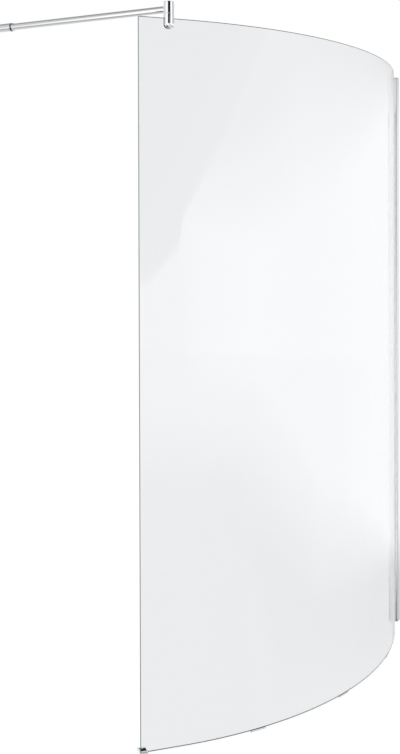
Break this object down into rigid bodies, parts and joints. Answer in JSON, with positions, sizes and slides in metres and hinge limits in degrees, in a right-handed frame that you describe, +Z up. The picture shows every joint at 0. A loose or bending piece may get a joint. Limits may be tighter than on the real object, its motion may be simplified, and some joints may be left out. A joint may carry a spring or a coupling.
{
  "type": "walk-in shower screen",
  "caption": "Curved clear glass walk-in shower screen with a telescopic wall channel, a swivelling round stay arm with a cover sleeve, and a floor bracket.",
  "frame": {"origin": "foot of the wall channel, in the middle of its back face, at floor level", "axes": "+Y into the wall behind the channel, +X along that wall to the right seen from the room, +Z up; the side wall that the arm reaches is at -X"},
  "size_m": [0.9183, 1.3444, 2.045],
  "materials": {
    "bright_aluminium": "polished and clear anodised",
    "grey_plastic": "moulded, fine satin",
    "stainless_steel": "turned",
    "chrome": "bright chrome plate",
    "cast_zinc": "die cast, unplated",
    "glass": "clear toughened, arrised edges",
    "clear_seal": "translucent, smooth",
    "clear_plastic": "clear, smooth",
    "pad_rubber": "matt",
    "black_rubber": "smooth",
    "white_plastic": "turned, satin"
  },
  "bodies": {
    "wall_profile": {"wall_channel": "bright_aluminium", "channel_top_cap": "grey_plastic", "channel_lock_screws": "stainless_steel", "lock_screw_covers": "chrome"},
    "screen": {"glass_channel": "bright_aluminium", "glass_channel_plugs": "grey_plastic", "gasket_outer": "clear_seal", "gasket_inner": "clear_seal", "edge_buffer": "clear_seal", "glass_panel": "glass", "glass_packers": "clear_plastic", "floor_bracket": "chrome", "floor_bracket_liner": "black_rubber", "floor_bracket_screw": "stainless_steel", "clamp_fork": "chrome", "clamp_pad_outer": "pad_rubber", "clamp_pad_inner": "pad_rubber", "clamp_pressure_plate": "stainless_steel", "clamp_screws": "stainless_steel"},
    "arm": {"clamp_head": "chrome", "clamp_pivot_screw": "stainless_steel", "clamp_thrust_washer": "white_plastic", "arm_screw": "stainless_steel", "arm_screw_cover": "chrome", "arm_end_plug": "cast_zinc", "arm_tube": "chrome"},
    "wall_fitting": {"wall_boss": "cast_zinc", "boss_grub_screw": "stainless_steel"},
    "sleeve": {"wall_sleeve": "chrome", "sleeve_collar": "chrome", "sleeve_seal": "black_rubber", "sleeve_bush": "chrome"}
  },
  "joints": [
    {"name": "width_adjust", "type": "slide", "parent": "wall_profile", "child": "screen", "axis": [0, -1, 0], "range_m": [-0.006, 0.008]},
    {"name": "clamp_swivel", "type": "hinge", "parent": "screen", "child": "arm", "pos_m": [-0.29474, -1.26604, 2.0245], "axis": [0, 0, 1], "range_deg": [-135, 45]},
    {"name": "arm_extension", "type": "slide", "parent": "arm", "child": "wall_fitting", "axis": [-1, 0, 0], "range_m": [-0.003, 0.012]},
    {"name": "sleeve_slide", "type": "slide", "parent": "wall_fitting", "child": "sleeve", "axis": [1, 0, 0], "range_m": [0, 0.045]}
  ]
}
